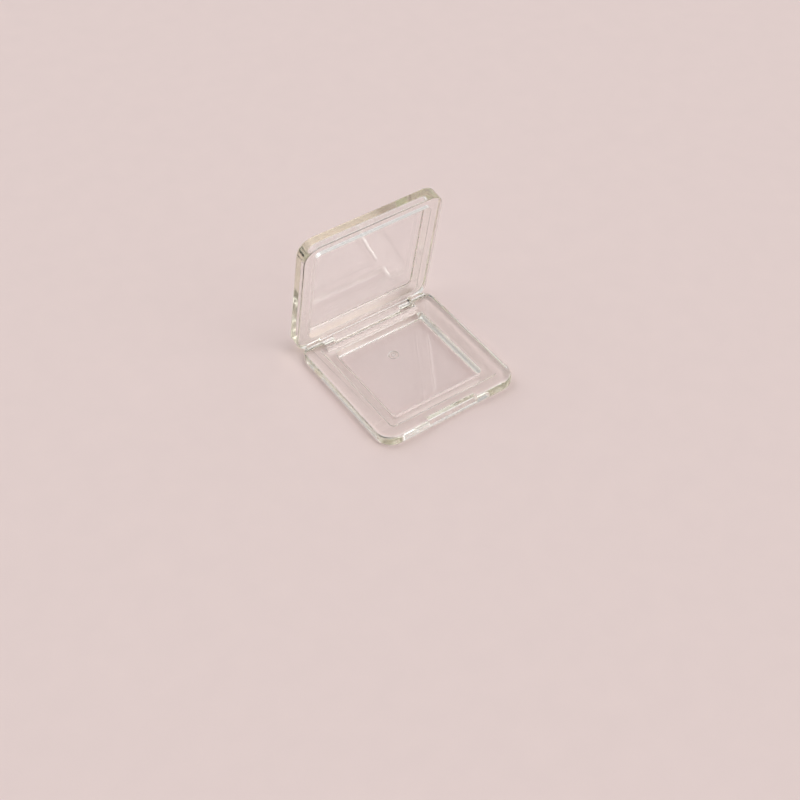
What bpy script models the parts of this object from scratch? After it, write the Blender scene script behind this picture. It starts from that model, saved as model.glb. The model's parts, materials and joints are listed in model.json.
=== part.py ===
"""Square clear compact with its lid open: a tray with one shallow well, a lid with a deep
rim and a hinge block, and two short steel pins.

Metres, +Z up. The origin is the middle of the tray's underside. The front edge, with the
finger notch, is toward -Y and the hinge is toward +Y. The lid is modelled closed, about
the hinge line, and then turned open.
"""
import math

import bmesh
import bpy
from mathutils import Matrix, Vector

# Closed case
case_width = 0.063
case_corner_radius = 0.007
tray_height = 0.005
lid_height = 0.006
parting_gap = 0.0003
base_edge_radius = 0.0026
tray_rim_radius = 0.0007
lid_edge_radius = 0.0008
lid_rim_radius = 0.0005
fine_edge_radius = 0.00015

# Rails of the tray, which leave the well between them
side_rail = 0.0106
front_rail = 0.0097
back_rail = 0.0114
well_corner_radius = 0.0015
floor_edge_radius = 0.0006
floor_thickness = 0.0013

# Raised land round the well, which locates inside the lid's recess
land_rise = 0.0004
land_clearance = 0.0003
land_side_clearance = 0.0012

# Finger notch in the front edge
notch_width = 0.0224
notch_reach = 0.0024
notch_lip_height = 0.0022

# Moulding gate under the floor: a dish with a stub left in it
gate_place = 0.0094
gate_radius = 0.0018
gate_depth = 0.0004
stub_radius = 0.0006
stub_setback = 0.00015

# Hinge
barrel_radius = 0.0027
ear_width = 0.0098
hinge_gap_reach = 0.0076
side_clearance = 0.0003
table_clearance = 0.0002
web_inset = 0.0001
web_sink = 0.001
open_angle = math.radians(78.6)

# Hinge pins, which pass through the ears into the ends of the hinge block
pin_radius = 0.0006
pin_inset = 0.0021
pin_length = 0.0130
pin_chamfer = 0.0001
bore_clearance = 0.0003
bore_spare = 0.0005

# Lid
panel_thickness = 0.0015
lid_side_wall = 0.0054
lid_front_wall = 0.0050
lid_back_wall = 0.0062
recess_corner_radius = 0.0022
recess_ceiling_radius = 0.0012

# Mesh fineness
overrun = 0.002
corner_steps = 10
base_edge_steps = 6
small_corner_steps = 6
edge_steps = 3
fine_edge_steps = 2
lid_fine_edge_steps = 1
round_sides = 64
block_sides = 32
pin_sides = 24
block_bore_sides = 16
sharp_angle = math.radians(40)
upright_slope_share = 0.1
rim_tolerance = 0.00001

half_width = case_width / 2
hinge_height = tray_height - barrel_radius
hinge_place = half_width - barrel_radius
gap_front = half_width - hinge_gap_reach
ear_inner = half_width - ear_width
block_half_width = ear_inner - side_clearance
block_radius = hinge_height - table_clearance
well_low = Vector((side_rail - half_width, front_rail - half_width))
well_high = Vector((half_width - side_rail, half_width - back_rail))
lid_bottom = tray_height + parting_gap
lid_top = lid_bottom + lid_height
recess_top = lid_top - panel_thickness
recess_low = Vector((lid_side_wall - half_width, lid_front_wall - half_width))
recess_high = Vector((half_width - lid_side_wall, half_width - lid_back_wall))
pin_outer = half_width - pin_inset
pin_inner = pin_outer - pin_length
bore_radius = pin_radius + bore_clearance


def clear_scene():
    for thing in list(bpy.data.objects):
        bpy.data.objects.remove(thing, do_unlink=True)


def make_collection(name):
    collection = bpy.data.collections.new(name)
    bpy.context.scene.collection.children.link(collection)
    return collection


def make_material(name, colour, roughness, metallic, transmission):
    material = bpy.data.materials.new(name)
    material.use_nodes = True
    shader = material.node_tree.nodes["Principled BSDF"]
    shader.inputs["Base Color"].default_value = colour
    shader.inputs["Roughness"].default_value = roughness
    shader.inputs["Metallic"].default_value = metallic
    shader.inputs["Transmission Weight"].default_value = transmission
    return material


def box(low, high):
    """A cube primitive stretched between two corners."""
    bm = bmesh.new()
    bmesh.ops.create_cube(bm, size=1)
    low, high = Vector(low), Vector(high)
    bmesh.ops.scale(bm, vec=high - low, verts=bm.verts)
    bmesh.ops.translate(bm, vec=(low + high) / 2, verts=bm.verts)
    return bm


def is_upright(edge):
    run = edge.verts[0].co - edge.verts[1].co
    return abs(run.x) + abs(run.y) < abs(run.z) * upright_slope_share


def round_edges(bm, edges, radius, steps):
    bmesh.ops.bevel(bm, geom=edges, offset=radius, segments=steps, profile=0.5,
                    affect="EDGES", clamp_overlap=False)


def round_uprights(bm, radius, steps):
    round_edges(bm, [e for e in bm.edges if is_upright(e)], radius, steps)


def round_rim(bm, height, radius, steps):
    """Rounds the closed loop of edges that lies at one height."""
    def on_rim(vert):
        return abs(vert.co.z - height) < rim_tolerance
    round_edges(bm, [e for e in bm.edges if all(map(on_rim, e.verts))], radius, steps)


def cylinder(radius, depth, sides, centre, turn=Matrix.Identity(4)):
    bm = bmesh.new()
    bmesh.ops.create_cone(bm, cap_ends=True, segments=sides, radius1=radius, radius2=radius,
                          depth=depth, matrix=turn)
    bmesh.ops.translate(bm, vec=centre, verts=bm.verts)
    return bm


def hinge_bar(radius, ends, sides):
    """A round bar on the hinge line, between two places along X."""
    low, high = sorted(ends)
    along_x = Matrix.Rotation(math.pi / 2, 4, "Y")
    return cylinder(radius, high - low, sides, ((low + high) / 2, hinge_place, hinge_height), along_x)


def add_object(name, bm, collection, parent=None):
    mesh = bpy.data.meshes.new(name)
    bm.to_mesh(mesh)
    bm.free()
    mesh.shade_smooth()
    mesh.set_sharp_from_angle(angle=sharp_angle)
    thing = bpy.data.objects.new(name, mesh)
    collection.objects.link(thing)
    thing.parent = parent
    return thing


def add_cutter(name, bm, collection, parent=None):
    thing = add_object(name, bm, collection, parent)
    thing.hide_render = True
    thing.display_type = "WIRE"
    return thing


def combine(thing, other, operation):
    modifier = thing.modifiers.new(other.name, "BOOLEAN")
    modifier.operation = operation
    modifier.solver = "EXACT"
    modifier.object = other


def soften(thing, width, steps):
    """Breaks the edges that the cuts leave sharp."""
    modifier = thing.modifiers.new("edges", "BEVEL")
    modifier.width = width
    modifier.segments = steps
    modifier.limit_method = "ANGLE"
    modifier.angle_limit = sharp_angle
    modifier.use_clamp_overlap = False


def case_slab(bottom, top):
    """One half of the closed case, solid, with its upright corners rounded."""
    slab = box((-half_width, -half_width, bottom), (half_width, half_width, top))
    round_uprights(slab, case_corner_radius, corner_steps)
    return slab


def make_tray(parts, cutters, material):
    slab = case_slab(0, tray_height)
    round_rim(slab, 0, base_edge_radius, base_edge_steps)
    round_rim(slab, tray_height, tray_rim_radius, edge_steps)
    tray = add_object("tray", slab, parts)
    tray.data.materials.append(material)
    land_top = tray_height + land_rise
    above = land_top + overrun

    inset = Vector((land_side_clearance, land_clearance))
    land = box((*(recess_low + inset), floor_thickness), (*(recess_high - inset), land_top))
    round_uprights(land, recess_corner_radius - land_clearance, small_corner_steps)
    combine(tray, add_cutter("land_form", land, cutters), "UNION")

    well = box((*well_low, floor_thickness), (*well_high, above))
    round_uprights(well, well_corner_radius, small_corner_steps)
    round_rim(well, floor_thickness, floor_edge_radius, edge_steps)
    combine(tray, add_cutter("well_cut", well, cutters), "DIFFERENCE")

    notch = box((-notch_width / 2, -half_width - overrun, notch_lip_height),
                (notch_width / 2, -half_width + notch_reach, above))
    combine(tray, add_cutter("notch_cut", notch, cutters), "DIFFERENCE")

    gap = box((-ear_inner, gap_front, -overrun), (ear_inner, half_width + overrun, above))
    combine(tray, add_cutter("gap_cut", gap, cutters), "DIFFERENCE")

    behind = box((-half_width - overrun, hinge_place, -overrun),
                 (half_width + overrun, half_width + overrun, above))
    shave = add_cutter("barrel_shave", behind, cutters)
    barrel = hinge_bar(barrel_radius, (-case_width, case_width), round_sides)
    combine(shave, add_cutter("barrel_form", barrel, cutters), "DIFFERENCE")
    combine(tray, shave, "DIFFERENCE")

    for side in (-1, 1):
        ends = (side * (ear_inner - overrun), side * (half_width + overrun))
        bore = hinge_bar(bore_radius, ends, pin_sides)
        combine(tray, add_cutter("ear_bore", bore, cutters), "DIFFERENCE")

    dish = cylinder(gate_radius, gate_depth * 2, pin_sides, (0, gate_place, 0))
    dish = add_cutter("gate_dish", dish, cutters)
    stub = cylinder(stub_radius, overrun, pin_sides, (0, gate_place, stub_setback + overrun / 2))
    combine(dish, add_cutter("gate_stub", stub, cutters), "DIFFERENCE")
    combine(tray, dish, "DIFFERENCE")
    soften(tray, fine_edge_radius, fine_edge_steps)
    return tray


def make_lid(parts, cutters, material):
    hinge = bpy.data.objects.new("hinge_line", None)
    parts.objects.link(hinge)
    hinge.location = (0, hinge_place, hinge_height)
    hinge.rotation_euler.x = -open_angle

    def local(bm):
        bmesh.ops.translate(bm, vec=(0, -hinge_place, -hinge_height), verts=bm.verts)
        return bm

    slab = case_slab(lid_bottom, lid_top)
    round_rim(slab, lid_top, lid_edge_radius, edge_steps)
    round_rim(slab, lid_bottom, lid_rim_radius, edge_steps)
    lid = add_object("lid", local(slab), parts, hinge)
    lid.data.materials.append(material)

    recess = box((*recess_low, lid_bottom - overrun), (*recess_high, recess_top))
    round_uprights(recess, recess_corner_radius, small_corner_steps)
    round_rim(recess, recess_top, recess_ceiling_radius, edge_steps)
    combine(lid, add_cutter("recess_cut", local(recess), cutters, hinge), "DIFFERENCE")

    web_reach = block_radius - web_inset
    web = box((-block_half_width, hinge_place - web_reach, hinge_height),
              (block_half_width, hinge_place + web_reach, lid_bottom + web_sink))
    block = add_cutter("hinge_block", local(web), cutters, hinge)
    barrel = hinge_bar(block_radius, (-block_half_width, block_half_width), block_sides)
    combine(block, add_cutter("block_barrel", local(barrel), cutters, hinge), "UNION")
    combine(lid, block, "UNION")

    for side in (-1, 1):
        ends = (side * (pin_inner - bore_spare), side * (block_half_width + overrun))
        bore = hinge_bar(bore_radius, ends, block_bore_sides)
        combine(lid, add_cutter("block_bore", local(bore), cutters, hinge), "DIFFERENCE")
    soften(lid, fine_edge_radius, lid_fine_edge_steps)
    return lid


def make_pin(name, side, parts, material):
    bar = hinge_bar(pin_radius, (side * pin_inner, side * pin_outer), pin_sides)
    pin = add_object(name, bar, parts)
    pin.data.materials.append(material)
    soften(pin, pin_chamfer, 1)
    return pin


def main():
    clear_scene()
    parts = make_collection("square_compact")
    cutters = make_collection("cutters")
    clear = make_material("clear_plastic", (0.93, 0.93, 0.88, 1), 0.05, 0, 1)
    steel = make_material("pin_steel", (0.56, 0.54, 0.50, 1), 0.3, 1, 0)
    make_tray(parts, cutters, clear)
    make_lid(parts, cutters, clear)
    make_pin("pin_left", -1, parts, steel)
    make_pin("pin_right", 1, parts, steel)


if __name__ == "__main__":
    main()
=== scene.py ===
import json
import math

import bmesh
import bpy
from mathutils import Matrix, Vector


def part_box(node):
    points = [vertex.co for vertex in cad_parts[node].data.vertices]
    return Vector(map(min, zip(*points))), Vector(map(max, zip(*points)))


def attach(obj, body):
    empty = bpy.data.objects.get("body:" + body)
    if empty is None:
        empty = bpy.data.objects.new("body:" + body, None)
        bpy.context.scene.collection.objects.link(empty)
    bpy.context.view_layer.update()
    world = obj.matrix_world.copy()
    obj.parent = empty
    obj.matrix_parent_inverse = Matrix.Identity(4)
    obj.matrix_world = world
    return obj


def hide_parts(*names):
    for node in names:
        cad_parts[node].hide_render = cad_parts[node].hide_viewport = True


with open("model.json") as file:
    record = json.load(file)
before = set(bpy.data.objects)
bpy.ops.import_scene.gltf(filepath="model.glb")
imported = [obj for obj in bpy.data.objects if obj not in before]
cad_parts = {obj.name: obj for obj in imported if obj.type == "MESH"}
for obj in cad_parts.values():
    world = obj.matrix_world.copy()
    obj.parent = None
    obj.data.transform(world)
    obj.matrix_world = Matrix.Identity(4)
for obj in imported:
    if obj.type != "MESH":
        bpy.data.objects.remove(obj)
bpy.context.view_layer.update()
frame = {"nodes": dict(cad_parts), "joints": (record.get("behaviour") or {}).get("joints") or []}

# Sizes of the moulding, in metres. Those that the frame gives are read from it.
half_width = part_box("tray")[1].x
case_corner_radius = 0.007
tray_height = 0.005
lid_height = 0.006
parting_gap = 0.0003
base_edge_radius = 0.0018
tray_rim_radius = 0.0017
lid_edge_radius = 0.0008
lid_rim_radius = 0.0005
fine_edge_radius = 0.00015

side_rail = 0.0106
front_rail = 0.0097
back_rail = 0.0114
well_corner_radius = 0.0015
floor_edge_radius = 0.0006
floor_thickness = 0.0013
land_rise = 0.0004
land_clearance = 0.0003
land_side_clearance = 0.0012

notch_width = 0.0224
notch_reach = 0.0024
notch_lip_height = 0.0022

gate_place = 0.0094
gate_radius = 0.0021
gate_depth = 0.0006
stub_radius = 0.0006
stub_setback = 0.00015

hinge_joint = frame["joints"][0]
hinge_place, hinge_height = hinge_joint["pos_m"][1:]
open_angle = math.radians(-hinge_joint["range_deg"][0])
barrel_radius = tray_height - hinge_height
ear_width = 0.0098
hinge_gap_reach = 0.0076
gap_lip_radius = 0.0004
side_clearance = 0.0003
table_clearance = 0.0002
web_inset = 0.0001
web_sink = 0.001

panel_thickness = 0.0015
lid_side_wall = 0.0054
lid_front_wall = 0.0050
lid_back_wall = 0.0062
recess_corner_radius = 0.0022
recess_ceiling_radius = 0.0004

pin_inset = 0.0021
pin_length = 0.0130
bore_radius = 0.0009
bore_spare = 0.0005

gap_front = half_width - hinge_gap_reach
ear_inner = half_width - ear_width
block_half_width = ear_inner - side_clearance
block_radius = hinge_height - table_clearance
lid_bottom = tray_height + parting_gap
lid_top = lid_bottom + lid_height
recess_top = lid_top - panel_thickness
recess_low = Vector((lid_side_wall - half_width, lid_front_wall - half_width))
recess_high = Vector((half_width - lid_side_wall, half_width - lid_back_wall))
well_low = Vector((side_rail - half_width, front_rail - half_width))
well_high = Vector((half_width - side_rail, half_width - back_rail))

# Fineness of the finished meshes
overrun = 0.002
corner_steps = 24
base_edge_steps = 16
edge_steps = 6
fine_edge_steps = 4
round_sides = 128
small_round_sides = 48
sharp_angle = math.radians(35)
upright_slope_share = 0.1
rim_tolerance = 0.00001


def new_object(name, bm):
    mesh = bpy.data.meshes.new(name)
    bm.to_mesh(mesh)
    bm.free()
    mesh.shade_smooth()
    thing = bpy.data.objects.new(name, mesh)
    bpy.context.scene.collection.objects.link(thing)
    return thing


def box(low, high):
    bm = bmesh.new()
    bmesh.ops.create_cube(bm, size=1)
    low, high = Vector(low), Vector(high)
    bmesh.ops.scale(bm, vec=high - low, verts=bm.verts)
    bmesh.ops.translate(bm, vec=(low + high) / 2, verts=bm.verts)
    return bm


def round_edges(bm, edges, radius, steps):
    bmesh.ops.bevel(bm, geom=edges, offset=radius, segments=steps, profile=0.5,
                    affect="EDGES", clamp_overlap=False)


def is_upright(edge):
    run = edge.verts[0].co - edge.verts[1].co
    return abs(run.x) + abs(run.y) < abs(run.z) * upright_slope_share


def round_uprights(bm, radius, steps):
    round_edges(bm, [e for e in bm.edges if is_upright(e)], radius, steps)


def round_rim(bm, height, radius, steps):
    def on_rim(vert):
        return abs(vert.co.z - height) < rim_tolerance
    round_edges(bm, [e for e in bm.edges if all(map(on_rim, e.verts))], radius, steps)


def cylinder(radius, depth, sides, centre, turn=Matrix.Identity(4)):
    bm = bmesh.new()
    bmesh.ops.create_cone(bm, cap_ends=True, segments=sides, radius1=radius, radius2=radius,
                          depth=depth, matrix=turn)
    bmesh.ops.translate(bm, vec=centre, verts=bm.verts)
    return bm


def hinge_bar(radius, ends, sides):
    """A round bar on the hinge line, between two places along X."""
    low, high = sorted(ends)
    along_x = Matrix.Rotation(math.pi / 2, 4, "Y")
    centre = ((low + high) / 2, hinge_place, hinge_height)
    return cylinder(radius, high - low, sides, centre, along_x)


def combine(thing, other, operation):
    modifier = thing.modifiers.new("form", "BOOLEAN")
    modifier.operation = operation
    modifier.solver = "EXACT"
    modifier.object = other
    other.hide_render = True


def soften(thing, width, steps):
    """Breaks the edges that the cuts leave sharp, and keeps the flats flat to the light."""
    modifier = thing.modifiers.new("edges", "BEVEL")
    modifier.width = width
    modifier.segments = steps
    modifier.limit_method = "ANGLE"
    modifier.angle_limit = sharp_angle
    modifier.use_clamp_overlap = False
    normals = thing.modifiers.new("normals", "WEIGHTED_NORMAL")
    normals.mode = "FACE_AREA"
    normals.weight = 50


def settle(thing, turn=Matrix.Identity(4)):
    """Turns modifiers into a plain mesh with its place in the vertices."""
    bpy.context.view_layer.update()
    view_layer = bpy.context.evaluated_depsgraph_get()
    mesh = bpy.data.meshes.new_from_object(thing.evaluated_get(view_layer))
    mesh.transform(turn)
    old = thing.data
    thing.modifiers.clear()
    thing.data = mesh
    bpy.data.meshes.remove(old)
    mesh.name = thing.name
    return thing


def round_within(thing, low, high, radius, steps):
    """Rounds the sharp edges of a plain mesh that lie inside a box."""
    bm = bmesh.new()
    bm.from_mesh(thing.data)

    def is_inside(vert):
        return all(a < c < b for a, c, b in zip(low, vert.co, high))
    edges = [e for e in bm.edges if all(map(is_inside, e.verts))
             and len(e.link_faces) == 2 and e.calc_face_angle() > sharp_angle]
    round_edges(bm, edges, radius, steps)
    bm.to_mesh(thing.data)
    bm.free()


def clear_away(things):
    for thing in things:
        bpy.data.objects.remove(thing, do_unlink=True)


def case_slab(bottom, top):
    slab = box((-half_width, -half_width, bottom), (half_width, half_width, top))
    round_uprights(slab, case_corner_radius, corner_steps)
    return slab


def make_tray():
    slab = case_slab(0, tray_height)
    round_rim(slab, 0, base_edge_radius, base_edge_steps)
    round_rim(slab, tray_height, tray_rim_radius, edge_steps)
    tray = new_object("tray_moulding", slab)
    tools = []

    def apply(name, bm, operation):
        tool = new_object(name, bm)
        tools.append(tool)
        combine(tray, tool, operation)
        return tool

    land_top = tray_height + land_rise
    above = land_top + overrun
    inset = Vector((land_side_clearance, land_clearance))
    land = box((*(recess_low + inset), floor_thickness), (*(recess_high - inset), land_top))
    round_uprights(land, recess_corner_radius - land_clearance, corner_steps)
    apply("land_form", land, "UNION")

    well = box((*well_low, floor_thickness), (*well_high, above))
    round_uprights(well, well_corner_radius, corner_steps)
    round_rim(well, floor_thickness, floor_edge_radius, edge_steps)
    apply("well_cut", well, "DIFFERENCE")

    notch = box((-notch_width / 2, -half_width - overrun, notch_lip_height),
                (notch_width / 2, -half_width + notch_reach, above))
    apply("notch_cut", notch, "DIFFERENCE")

    gap = box((-ear_inner, gap_front, -overrun), (ear_inner, half_width + overrun, above))
    apply("gap_cut", gap, "DIFFERENCE")

    behind = box((-half_width - overrun, hinge_place, -overrun),
                 (half_width + overrun, half_width + overrun, above))
    shave = apply("barrel_shave", behind, "DIFFERENCE")
    barrel = new_object("barrel_form", hinge_bar(barrel_radius, (-half_width * 2, half_width * 2),
                                                 round_sides))
    tools.append(barrel)
    combine(shave, barrel, "DIFFERENCE")

    for side in (-1, 1):
        ends = (side * (ear_inner - overrun), side * (half_width + overrun))
        apply("ear_bore", hinge_bar(bore_radius, ends, small_round_sides), "DIFFERENCE")

    dish = apply("gate_dish", cylinder(gate_radius, gate_depth * 2, small_round_sides,
                                       (0, gate_place, 0)), "DIFFERENCE")
    stub = new_object("gate_stub", cylinder(stub_radius, overrun, small_round_sides,
                                            (0, gate_place, stub_setback + overrun / 2)))
    tools.append(stub)
    combine(dish, stub, "DIFFERENCE")
    settle(tray)
    clear_away(tools)
    round_within(tray, (-ear_inner + gap_lip_radius, gap_front - rim_tolerance, tray_height),
                 (ear_inner - gap_lip_radius, gap_front + rim_tolerance, above),
                 gap_lip_radius, edge_steps)
    soften(tray, fine_edge_radius, fine_edge_steps)
    settle(tray)
    return tray


def make_lid():
    slab = case_slab(lid_bottom, lid_top)
    round_rim(slab, lid_top, lid_edge_radius, edge_steps)
    round_rim(slab, lid_bottom, lid_rim_radius, edge_steps)
    lid = new_object("lid_moulding", slab)
    tools = []

    def apply(name, bm, operation):
        tool = new_object(name, bm)
        tools.append(tool)
        combine(lid, tool, operation)
        return tool

    recess = box((*recess_low, lid_bottom - overrun), (*recess_high, recess_top))
    round_uprights(recess, recess_corner_radius, corner_steps)
    round_rim(recess, recess_top, recess_ceiling_radius, edge_steps)
    apply("recess_cut", recess, "DIFFERENCE")

    web_reach = block_radius - web_inset
    web = box((-block_half_width, hinge_place - web_reach, hinge_height),
              (block_half_width, hinge_place + web_reach, lid_bottom + web_sink))
    block = apply("hinge_block", web, "UNION")
    barrel = new_object("block_barrel", hinge_bar(block_radius,
                                                  (-block_half_width, block_half_width),
                                                  round_sides))
    tools.append(barrel)
    combine(block, barrel, "UNION")

    pin_inner = half_width - pin_inset - pin_length
    for side in (-1, 1):
        ends = (side * (pin_inner - bore_spare), side * (block_half_width + overrun))
        apply("block_bore", hinge_bar(bore_radius, ends, small_round_sides), "DIFFERENCE")
    soften(lid, fine_edge_radius, fine_edge_steps)
    line = Matrix.Translation((0, hinge_place, hinge_height))
    opened = line @ Matrix.Rotation(-open_angle, 4, "X") @ line.inverted()
    settle(lid, opened)
    clear_away(tools)
    return lid


# Finishes. The heights of their relief are in metres, and the scales of their grain per metre.
resin_colour = (0.985, 0.982, 0.986)
resin_shade = (0.966, 0.962, 0.962)
haze_colour = (0.90, 0.88, 0.66)
haze_density = 11
resin_index = 1.57
ripple_height = 0.00002
ripple_scale = 190
drag_height = 0.00002
drag_scale = 700
drag_stretch_share = 0.12
wall_tilt = (0.2, 0.7)
hairline_depth = 0.000003
hairline_scale = 260
hairline_lean = math.radians(34)
hairline_stretch_share = 0.05
hairline_width = (0.004, 0.012)
worn_scale = 140
worn_edge = (0.5, 0.62)
polish_roughness = 0.01
smudge_roughness = 0.1
smudge_scale = 70
smudge_edge = (0.5, 0.75)
shade_scale = 35

steel_colour = (0.50, 0.48, 0.45)
steel_shade = (0.60, 0.58, 0.54)
steel_roughness = (0.24, 0.42)
steel_line_height = 0.000006
steel_line_scale = 9000
steel_stretch_share = 0.03
steel_patch_scale = 900

card_colour = (0.715, 0.598, 0.59)
card_shade = (0.745, 0.622, 0.61)
card_roughness = (0.85, 0.95)
card_gloss = 0.2
card_tooth_height = 0.00003
card_tooth_scale = 1600
card_mottle_scale = 90
middle_grain = (0.3, 0.7)


def node(tree, kind, place, **settings):
    made = tree.nodes.new(kind)
    made.location = place
    for key, value in settings.items():
        setattr(made, key, value)
    return made


def feed(tree, socket, source):
    """Sets a socket to a value, or links it to another node's output."""
    if isinstance(source, bpy.types.NodeSocket):
        tree.links.new(source, socket)
    else:
        socket.default_value = source


def sum_of(tree, operation, first, second, place):
    made = node(tree, "ShaderNodeMath", place, operation=operation)
    feed(tree, made.inputs[0], first)
    feed(tree, made.inputs[1], second)
    return made.outputs[0]


def grain(tree, where, scale, detail, place, stretch=(1, 1, 1)):
    """Soft noise from 0 to 1, drawn out along the axes whose stretch is small."""
    laid = node(tree, "ShaderNodeMapping", place)
    laid.inputs["Scale"].default_value = stretch
    feed(tree, laid.inputs["Vector"], where)
    made = node(tree, "ShaderNodeTexNoise", (place[0] + 200, place[1]))
    made.inputs["Scale"].default_value = scale
    made.inputs["Detail"].default_value = detail
    feed(tree, made.inputs["Vector"], laid.outputs[0])
    return made.outputs["Fac"]


def ramp(tree, value, low, high, low_out, high_out, place):
    made = node(tree, "ShaderNodeMapRange", place, interpolation_type="SMOOTHSTEP")
    made.inputs["From Min"].default_value = low
    made.inputs["From Max"].default_value = high
    made.inputs["To Min"].default_value = low_out
    made.inputs["To Max"].default_value = high_out
    feed(tree, made.inputs["Value"], value)
    return made.outputs["Result"]


def moulded_surface():
    """A polished moulding: flow ripple, drag marks up its walls, hairlines and smudges."""
    group = bpy.data.node_groups.new("moulded_surface", "ShaderNodeTree")
    for name in ("Place", "Facing"):
        group.interface.new_socket(name, in_out="INPUT", socket_type="NodeSocketVector")
    for name in ("Height", "Roughness", "Shade"):
        group.interface.new_socket(name, in_out="OUTPUT", socket_type="NodeSocketFloat")
    given = node(group, "NodeGroupInput", (-1200, 0))
    result = node(group, "NodeGroupOutput", (900, 0))
    where = given.outputs["Place"]

    ripple = grain(group, where, ripple_scale, 1.5, (-900, 500))
    ripple = sum_of(group, "MULTIPLY", ripple, ripple_height, (-400, 500))

    marks = grain(group, where, drag_scale, 3, (-900, 200), (1, 1, drag_stretch_share))
    facing = node(group, "ShaderNodeSeparateXYZ", (-900, 0))
    feed(group, facing.inputs[0], given.outputs["Facing"])
    upward = sum_of(group, "ABSOLUTE", facing.outputs["Z"], 0, (-700, 0))
    on_walls = ramp(group, upward, *wall_tilt, drag_height, 0, (-500, 0))
    marks = sum_of(group, "MULTIPLY", marks, on_walls, (-200, 200))

    lean = node(group, "ShaderNodeMapping", (-1000, -250))
    lean.inputs["Rotation"].default_value = (0, 0, hairline_lean)
    lean.inputs["Scale"].default_value = (1, hairline_stretch_share, 1)
    feed(group, lean.inputs["Vector"], where)
    cells = node(group, "ShaderNodeTexVoronoi", (-800, -250), feature="DISTANCE_TO_EDGE")
    cells.inputs["Scale"].default_value = hairline_scale
    feed(group, cells.inputs["Vector"], lean.outputs[0])
    line = ramp(group, cells.outputs["Distance"], *hairline_width, 1, 0, (-600, -250))
    worn = grain(group, where, worn_scale, 2, (-900, -500))
    worn = ramp(group, worn, *worn_edge, 0, 1, (-400, -500))
    hairline = sum_of(group, "MULTIPLY", line, worn, (-200, -300))
    cut = sum_of(group, "MULTIPLY", hairline, -hairline_depth, (0, -200))

    relief = sum_of(group, "ADD", ripple, marks, (200, 300))
    feed(group, result.inputs["Height"], sum_of(group, "ADD", relief, cut, (400, 200)))

    smudge = grain(group, where, smudge_scale, 3, (-900, -800))
    smudge = ramp(group, smudge, *smudge_edge, polish_roughness, smudge_roughness, (-400, -800))
    rough = sum_of(group, "MULTIPLY", hairline, smudge_roughness, (0, -500))
    feed(group, result.inputs["Roughness"], sum_of(group, "ADD", smudge, rough, (300, -500)))
    feed(group, result.inputs["Shade"], grain(group, where, shade_scale, 2, (-900, -1100)))
    return group


def clear_plastic(name, turn, surface):
    """Clear styrene with a faint straw tint. The turn lays its grain along the closed moulding."""
    material = bpy.data.materials.new(name)
    material.use_nodes = True
    tree = material.node_tree
    tree.nodes.clear()
    output = node(tree, "ShaderNodeOutputMaterial", (900, 0))
    shader = node(tree, "ShaderNodeBsdfPrincipled", (500, 0))
    shader.inputs["Metallic"].default_value = 0
    shader.inputs["IOR"].default_value = resin_index
    shader.inputs["Transmission Weight"].default_value = 1
    tree.links.new(shader.outputs[0], output.inputs["Surface"])
    tint = node(tree, "ShaderNodeVolumeAbsorption", (600, -400))
    tint.inputs["Color"].default_value = (*haze_colour, 1)
    tint.inputs["Density"].default_value = haze_density
    tree.links.new(tint.outputs[0], output.inputs["Volume"])

    source = node(tree, "ShaderNodeTexCoord", (-900, 0))
    finish = node(tree, "ShaderNodeGroup", (-300, 0), node_tree=surface)
    for row, (given, wanted) in enumerate((("Object", "Place"), ("Normal", "Facing"))):
        laid = node(tree, "ShaderNodeMapping", (-600, -300 * row), vector_type="VECTOR")
        laid.inputs["Rotation"].default_value = (turn, 0, 0)
        tree.links.new(source.outputs[given], laid.inputs["Vector"])
        tree.links.new(laid.outputs[0], finish.inputs[wanted])
    relief = node(tree, "ShaderNodeBump", (200, -200))
    relief.inputs["Distance"].default_value = 1
    tree.links.new(finish.outputs["Height"], relief.inputs["Height"])
    tree.links.new(relief.outputs["Normal"], shader.inputs["Normal"])
    tree.links.new(finish.outputs["Roughness"], shader.inputs["Roughness"])
    colour = node(tree, "ShaderNodeMix", (200, 200), data_type="RGBA")
    colour.inputs["A"].default_value = (*resin_colour, 1)
    colour.inputs["B"].default_value = (*resin_shade, 1)
    tree.links.new(finish.outputs["Shade"], colour.inputs["Factor"])
    tree.links.new(colour.outputs["Result"], shader.inputs["Base Color"])
    return material


def drawn_steel():
    """Drawn wire: fine lines along the pin, which runs along X."""
    material = bpy.data.materials.new("drawn_steel")
    material.use_nodes = True
    tree = material.node_tree
    shader = tree.nodes["Principled BSDF"]
    shader.inputs["Metallic"].default_value = 1
    source = node(tree, "ShaderNodeTexCoord", (-1100, 0))
    where = source.outputs["Object"]
    lines = grain(tree, where, steel_line_scale, 3, (-900, 0), (steel_stretch_share, 1, 1))
    patches = grain(tree, where, steel_patch_scale, 2, (-900, -300))
    colour = node(tree, "ShaderNodeMix", (-300, 200), data_type="RGBA")
    colour.inputs["A"].default_value = (*steel_colour, 1)
    colour.inputs["B"].default_value = (*steel_shade, 1)
    tree.links.new(patches, colour.inputs["Factor"])
    tree.links.new(colour.outputs["Result"], shader.inputs["Base Color"])
    feed(tree, shader.inputs["Roughness"],
         ramp(tree, lines, *middle_grain, *steel_roughness, (-300, 0)))
    relief = node(tree, "ShaderNodeBump", (-300, -300))
    relief.inputs["Distance"].default_value = steel_line_height
    tree.links.new(lines, relief.inputs["Height"])
    tree.links.new(relief.outputs["Normal"], shader.inputs["Normal"])
    return material


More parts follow.
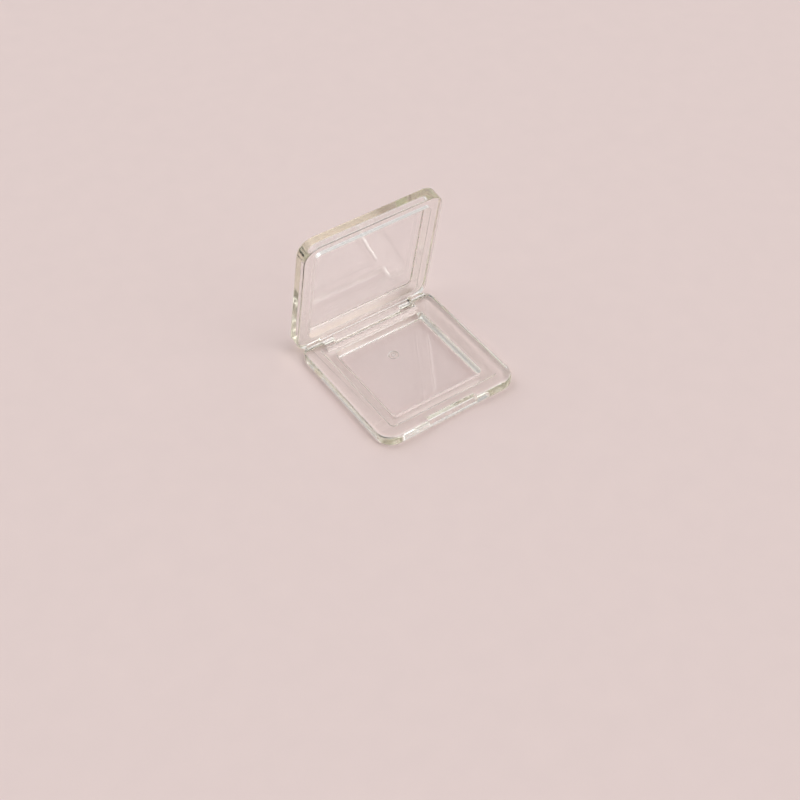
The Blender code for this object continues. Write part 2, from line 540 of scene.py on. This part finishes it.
def floor_finish():
    """Matt card, with a fine tooth and a slight mottle."""
    material = bpy.data.materials.new("pale_floor")
    material.use_nodes = True
    tree = material.node_tree
    shader = tree.nodes["Principled BSDF"]
    shader.inputs["Specular IOR Level"].default_value = card_gloss
    source = node(tree, "ShaderNodeTexCoord", (-1100, 0))
    tooth = grain(tree, source.outputs["Object"], card_tooth_scale, 3, (-900, 0))
    mottle = grain(tree, source.outputs["Object"], card_mottle_scale, 2, (-900, -300))
    colour = node(tree, "ShaderNodeMix", (-300, 200), data_type="RGBA")
    colour.inputs["A"].default_value = (*card_colour, 1)
    colour.inputs["B"].default_value = (*card_shade, 1)
    tree.links.new(mottle, colour.inputs["Factor"])
    tree.links.new(colour.outputs["Result"], shader.inputs["Base Color"])
    feed(tree, shader.inputs["Roughness"],
         ramp(tree, tooth, *middle_grain, *card_roughness, (-300, 0)))
    relief = node(tree, "ShaderNodeBump", (-300, -300))
    relief.inputs["Distance"].default_value = card_tooth_height
    tree.links.new(tooth, relief.inputs["Height"])
    tree.links.new(relief.outputs["Normal"], shader.inputs["Normal"])
    return material


surface = moulded_surface()
steel = drawn_steel()
mouldings = (("tray", make_tray, "base", 0), ("lid", make_lid, "lid", open_angle))
for name, make, body, turn in mouldings:
    piece = make()
    piece.data.materials.clear()
    piece.data.materials.append(clear_plastic("clear_" + name, turn, surface))
    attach(piece, body)
    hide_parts(name)
for name in ("pin_left", "pin_right"):
    frame["nodes"][name].data.materials.clear()
    frame["nodes"][name].data.materials.append(steel)


# Floor, light and camera
floor_reach = 3
floor_drop = 0.00005


def make_stage():
    bm = bmesh.new()
    bmesh.ops.create_grid(bm, x_segments=1, y_segments=1, size=floor_reach)
    floor = new_object("floor", bm)
    floor.data.materials.append(floor_finish())
    floor.location.z = -floor_drop


# Soft studio light: an even room, with wide soft patches that are brighter or dimmer than it.
# Each patch has its azimuth from +X toward +Y, its elevation and its reach from its middle to
# where it ends, all in degrees, and what it adds to the room's level.
room_level = 0.89
room_colour = (1, 0.99, 0.97, 1)
horizon_fade = (math.sin(math.radians(3)), math.sin(math.radians(12)))
light_patches = {
    "window_right": (305, 50, 34, 1.8),
    "window_left": (115, 48, 34, 0.7),
    "bounce_back": (75, 5, 40, 0.4),
    "overhead": (40, 72, 24, 0.25),
    "dim_left": (215, 15, 65, -0.85),
    "dim_right": (338, 28, 24, -0.85),
    "dim_back": (56, 47, 24, -0.4),
    "dim_top": (0, 90, 16, -0.5),
}


def make_light():
    world = bpy.data.worlds.new("studio")
    bpy.context.scene.world = world
    world.use_nodes = True
    tree = world.node_tree
    background = tree.nodes["Background"]
    background.inputs["Color"].default_value = room_colour
    place = node(tree, "ShaderNodeTexCoord", (-900, 0))
    level = 0
    for row, (name, (azimuth, elevation, reach, gain)) in enumerate(light_patches.items()):
        turn, lift = math.radians(azimuth), math.radians(elevation)
        toward = (math.cos(turn) * math.cos(lift), math.sin(turn) * math.cos(lift), math.sin(lift))
        nearness = node(tree, "ShaderNodeVectorMath", (-700, -200 * row), operation="DOT_PRODUCT")
        nearness.inputs[1].default_value = toward
        tree.links.new(place.outputs["Generated"], nearness.inputs[0])
        patch = node(tree, "ShaderNodeMapRange", (-500, -200 * row), name=name,
                     interpolation_type="SMOOTHSTEP")
        patch.inputs["From Min"].default_value = math.cos(math.radians(reach))
        patch.inputs["To Max"].default_value = gain
        tree.links.new(nearness.outputs["Value"], patch.inputs["Value"])
        level = sum_of(tree, "ADD", level, patch.outputs["Result"], (-300, -200 * row))
    # The patches fade out near the horizon, so that the room behind the floor is plain and pale.
    height = node(tree, "ShaderNodeSeparateXYZ", (-300, 400))
    tree.links.new(place.outputs["Generated"], height.inputs[0])
    faded = ramp(tree, height.outputs["Z"], *horizon_fade, 0, 1, (-100, 400))
    seen = node(tree, "ShaderNodeLightPath", (-300, 700))
    lit = sum_of(tree, "SUBTRACT", 1, seen.outputs["Is Camera Ray"], (-100, 700))
    faded = sum_of(tree, "MULTIPLY", faded, lit, (100, 500))
    change = sum_of(tree, "MULTIPLY", level, faded, (300, 300))
    level = sum_of(tree, "ADD", change, room_level, (500, 300))
    tree.links.new(level, background.inputs["Strength"])


camera_place = (-0.22285, -0.32121, 0.39540)
camera_turn_deg = (43.43809, 0.21595, -34.56741)
camera_lens = 62.785
camera_sensor = 36
camera_nearest = 0.01


def make_camera():
    camera = bpy.data.cameras.new("camera")
    camera.lens = camera_lens
    camera.sensor_width = camera_sensor
    camera.clip_start = camera_nearest
    thing = bpy.data.objects.new("camera", camera)
    thing.location = camera_place
    thing.rotation_euler = [math.radians(angle) for angle in camera_turn_deg]
    bpy.context.scene.collection.objects.link(thing)
    bpy.context.scene.camera = thing


def set_look():
    scene = bpy.context.scene
    scene.view_settings.view_transform = "Standard"
    scene.cycles.blur_glossy = 0
    scene.cycles.max_bounces = 40
    scene.cycles.diffuse_bounces = 6
    scene.cycles.glossy_bounces = 32
    scene.cycles.transmission_bounces = 32
    scene.cycles.transparent_max_bounces = 16
    scene.cycles.use_denoising = True


make_stage()
make_light()
make_camera()
set_look()
